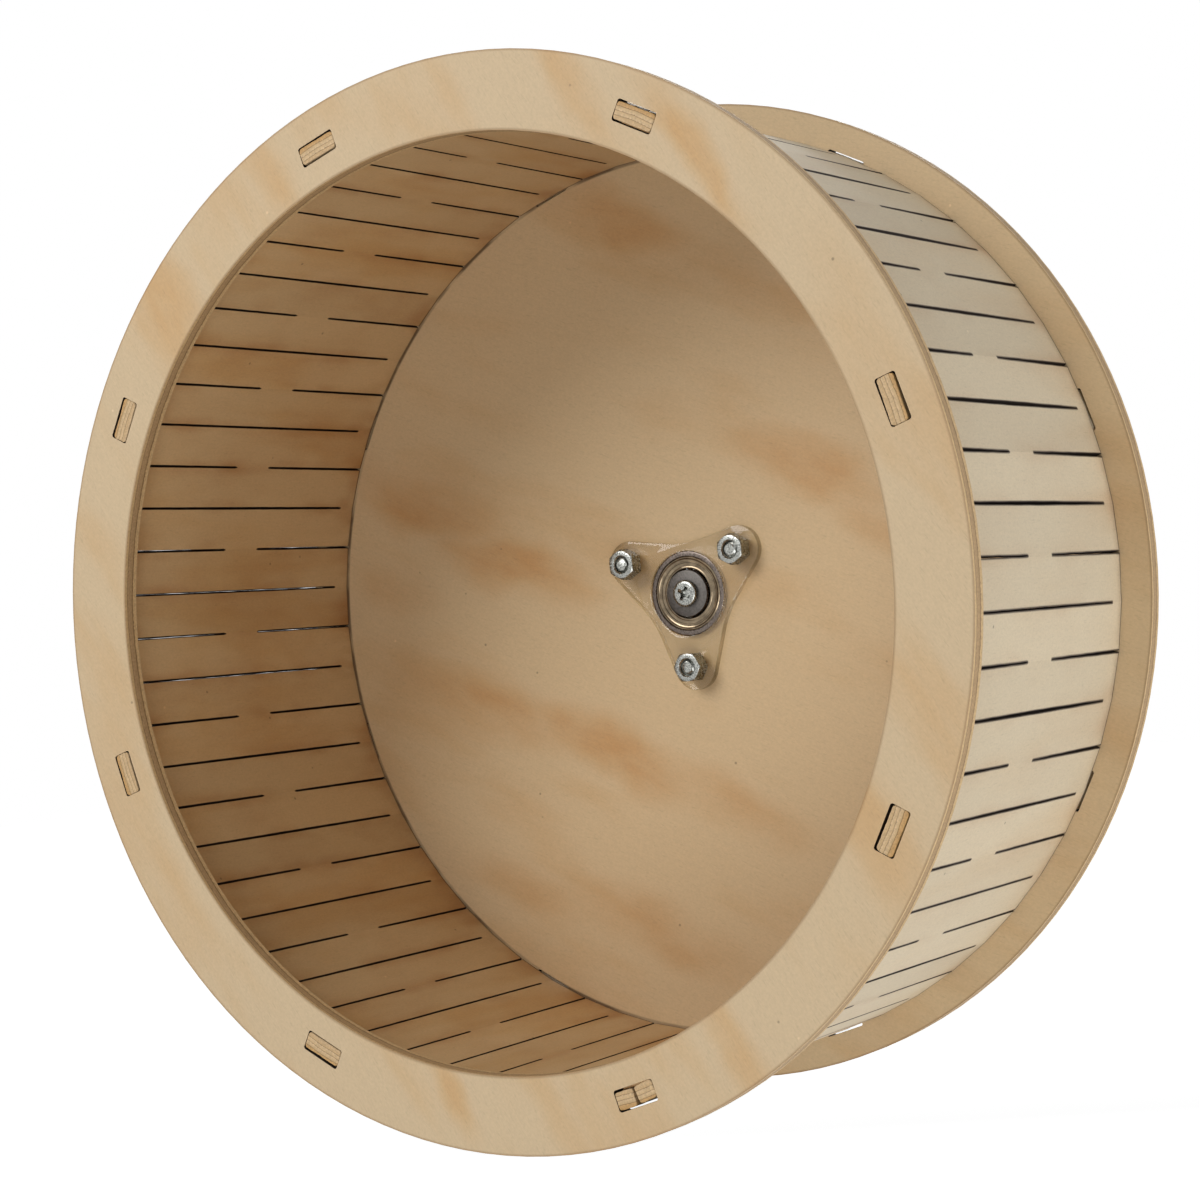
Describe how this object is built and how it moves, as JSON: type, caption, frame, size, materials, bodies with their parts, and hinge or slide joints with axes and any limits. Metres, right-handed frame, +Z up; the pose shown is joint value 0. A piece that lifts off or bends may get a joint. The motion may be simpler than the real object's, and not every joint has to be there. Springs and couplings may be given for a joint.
{
  "type": "hamster wheel",
  "caption": "Open-fronted plywood hamster wheel: kerf-bent slotted track, front ring, back disc and a ball-bearing hub in clear plates on a screw axle.",
  "frame": {"origin": "on the wheel's axis, at the flat rear face of the axle's lock nut, which seats on a stand's upright", "axes": "+Y along the axle's free end, away from the open side; +Z up; the open side faces -Y"},
  "size_m": [0.25, 0.1247, 0.25],
  "materials": {
    "ring_plywood": "bare sanded birch plywood with soft tan mottling",
    "disc_plywood": "bare birch plywood, warmer, with slanting grain streaks",
    "track_plywood": "bare birch plywood strip with scorched slot edges",
    "clear_acrylic": "clear polished sheet",
    "bearing_steel": "ground bearing steel",
    "shield_steel": "pressed sheet steel",
    "ball_steel": "polished",
    "cage_nylon": "moulded nylon",
    "sleeve_steel": "turned",
    "spacer_nylon": "turned nylon",
    "washer_steel": "dull dark plating",
    "zinc_plate": "bright zinc plate"
  },
  "bodies": {
    "axle": {"axle_screw": "zinc_plate", "axle_washer": "washer_steel", "axle_sleeve": "sleeve_steel", "axle_spacer": "spacer_nylon", "axle_lock_nut": "zinc_plate", "bearing_inner_ring": "bearing_steel"},
    "wheel": {"front_ring": "ring_plywood", "back_disc": "disc_plywood", "running_track": "track_plywood", "front_bearing_plate": "clear_acrylic", "rear_bearing_plate": "clear_acrylic", "bearing_outer_ring": "bearing_steel", "bearing_front_shield": "shield_steel", "bearing_rear_shield": "shield_steel", "hub_bolt_1": "zinc_plate", "hub_bolt_2": "zinc_plate", "hub_bolt_3": "zinc_plate", "hub_nut_1": "zinc_plate", "hub_nut_2": "zinc_plate", "hub_nut_3": "zinc_plate"},
    "ball_cage": {"bearing_cage": "cage_nylon", "bearing_ball_1": "ball_steel", "bearing_ball_2": "ball_steel", "bearing_ball_3": "ball_steel", "bearing_ball_4": "ball_steel", "bearing_ball_5": "ball_steel", "bearing_ball_6": "ball_steel", "bearing_ball_7": "ball_steel"}
  },
  "joints": [
    {"name": "wheel_spin", "type": "hinge", "parent": "axle", "child": "wheel", "pos_m": [0, 0, 0], "axis": [0, 1, 0], "continuous": true},
    {"name": "cage_spin", "type": "hinge", "parent": "axle", "child": "ball_cage", "pos_m": [0, 0, 0], "axis": [0, 1, 0], "continuous": true}
  ],
  "couplings": [
    {"joint": "cage_spin", "follows": "wheel_spin", "ratio": 0.6323}
  ]
}
